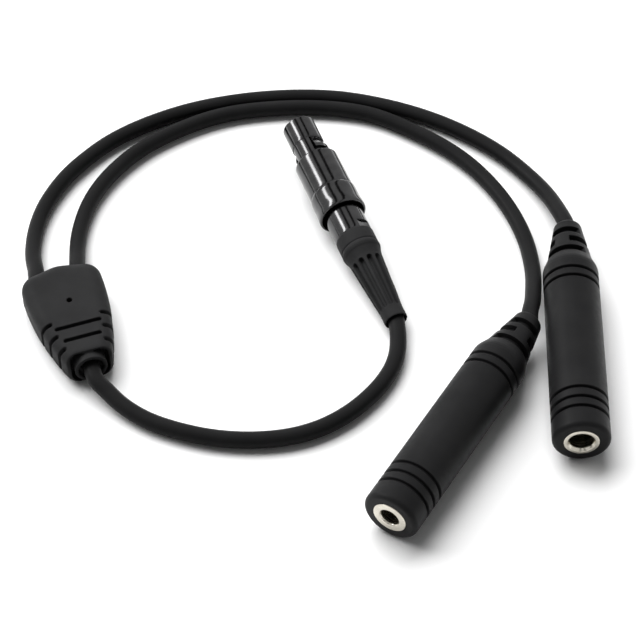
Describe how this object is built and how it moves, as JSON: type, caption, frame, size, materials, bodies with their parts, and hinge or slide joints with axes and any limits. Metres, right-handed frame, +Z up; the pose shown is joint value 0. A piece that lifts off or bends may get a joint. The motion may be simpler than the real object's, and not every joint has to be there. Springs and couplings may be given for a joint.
{
  "type": "headset adapter lead",
  "caption": "Y lead that joins a round push-pull plug to a headphone jack and a microphone jack through a flat moulded junction.",
  "frame": {"origin": "middle of the junction moulding's flat underside, on the table that the lead lies on", "axes": "+Z up from the table, +X towards the side where the two jacks lie, +Y towards the loop's far side; the junction's long axis is turned 19.5 degrees from +Y towards -X"},
  "size_m": [0.1642, 0.1695, 0.0158],
  "materials": {
    "cord_jacket": "matte black PVC jacket with a soft sheen",
    "moulding": "matte black soft PVC moulding with a fine grain",
    "housing": "satin black moulded housing",
    "black_chrome": "polished black chrome on turned brass",
    "nickel": "bright nickel plate on turned brass",
    "plated_metal": "dull nickel plate",
    "contact_metal": "gold-flashed contact metal",
    "insulator": "glass-filled insulator",
    "wire_insulation": "smooth thin wire insulation"
  },
  "bodies": {
    "lead": {"junction_moulding": "moulding", "junction_splices": "plated_metal", "junction_wires": "wire_insulation", "trunk_cord": "cord_jacket", "headphone_cord": "cord_jacket", "microphone_cord": "cord_jacket", "plug_latch_base": "plated_metal", "plug_contact_holder": "insulator", "plug_contact_pins": "contact_metal", "plug_insert_tube": "plated_metal", "plug_collet": "plated_metal", "plug_collet_nut": "black_chrome", "plug_bend_relief": "moulding", "plug_wires": "wire_insulation", "headphone_jack_housing": "housing", "headphone_jack_bushing": "nickel", "headphone_jack_can": "plated_metal", "headphone_jack_carrier": "insulator", "headphone_solder_tags": "contact_metal", "headphone_wires": "wire_insulation", "microphone_jack_housing": "housing", "microphone_jack_bushing": "nickel", "microphone_jack_can": "plated_metal", "microphone_jack_carrier": "insulator", "microphone_solder_tags": "contact_metal", "microphone_wires": "wire_insulation"},
    "plug_shell": {"plug_outer_shell": "black_chrome", "plug_grip_sleeve": "black_chrome"},
    "upper_latch_finger": {"plug_latch_finger_upper": "black_chrome"},
    "lower_latch_finger": {"plug_latch_finger_lower": "black_chrome"},
    "headphone_tip_leaf": {"headphone_tip_contact": "contact_metal"},
    "headphone_ring_leaf": {"headphone_ring_contact": "contact_metal"},
    "microphone_tip_leaf": {"microphone_tip_contact": "contact_metal"},
    "microphone_ring_leaf": {"microphone_ring_contact": "contact_metal"}
  },
  "joints": [
    {"name": "shell_slide", "type": "slide", "parent": "lead", "child": "plug_shell", "axis": [0.365, -0.9265, -0.0917], "range_m": [0, 0.0015], "stiffness_N_per_m": 2000},
    {"name": "upper_finger_flex", "type": "hinge", "parent": "lead", "child": "upper_latch_finger", "pos_m": [0.07324, 0.0516, 0.01147], "axis": [-0.6911, -0.3356, 0.6401], "range_deg": [0, 3.25], "stiffness_Nm_per_rad": 0.05},
    {"name": "lower_finger_flex", "type": "hinge", "parent": "lead", "child": "lower_latch_finger", "pos_m": [0.06831, 0.05025, 0.00545], "axis": [0.6911, 0.3356, -0.6401], "range_deg": [0, 3.25], "stiffness_Nm_per_rad": 0.05},
    {"name": "headphone_tip_flex", "type": "hinge", "parent": "lead", "child": "headphone_tip_leaf", "pos_m": [0.14428, -0.00563, 0.0079], "axis": [0, 0, 1], "range_deg": [0, 2], "stiffness_Nm_per_rad": 0.05},
    {"name": "headphone_ring_flex", "type": "hinge", "parent": "lead", "child": "headphone_ring_leaf", "pos_m": [0.13568, -0.0054, 0.0079], "axis": [0, 0, -1], "range_deg": [0, 2], "stiffness_Nm_per_rad": 0.05},
    {"name": "microphone_tip_flex", "type": "hinge", "parent": "lead", "child": "microphone_tip_leaf", "pos_m": [0.11236, -0.03811, 0.0079], "axis": [0, 0, 1], "range_deg": [0, 2], "stiffness_Nm_per_rad": 0.05},
    {"name": "microphone_ring_flex", "type": "hinge", "parent": "lead", "child": "microphone_ring_leaf", "pos_m": [0.10499, -0.03368, 0.0079], "axis": [0, 0, -1], "range_deg": [0, 2], "stiffness_Nm_per_rad": 0.05}
  ],
  "couplings": [
    {"joint": "upper_finger_flex", "follows": "shell_slide", "rad_per_m": 37.2},
    {"joint": "lower_finger_flex", "follows": "shell_slide", "rad_per_m": 37.2}
  ]
}
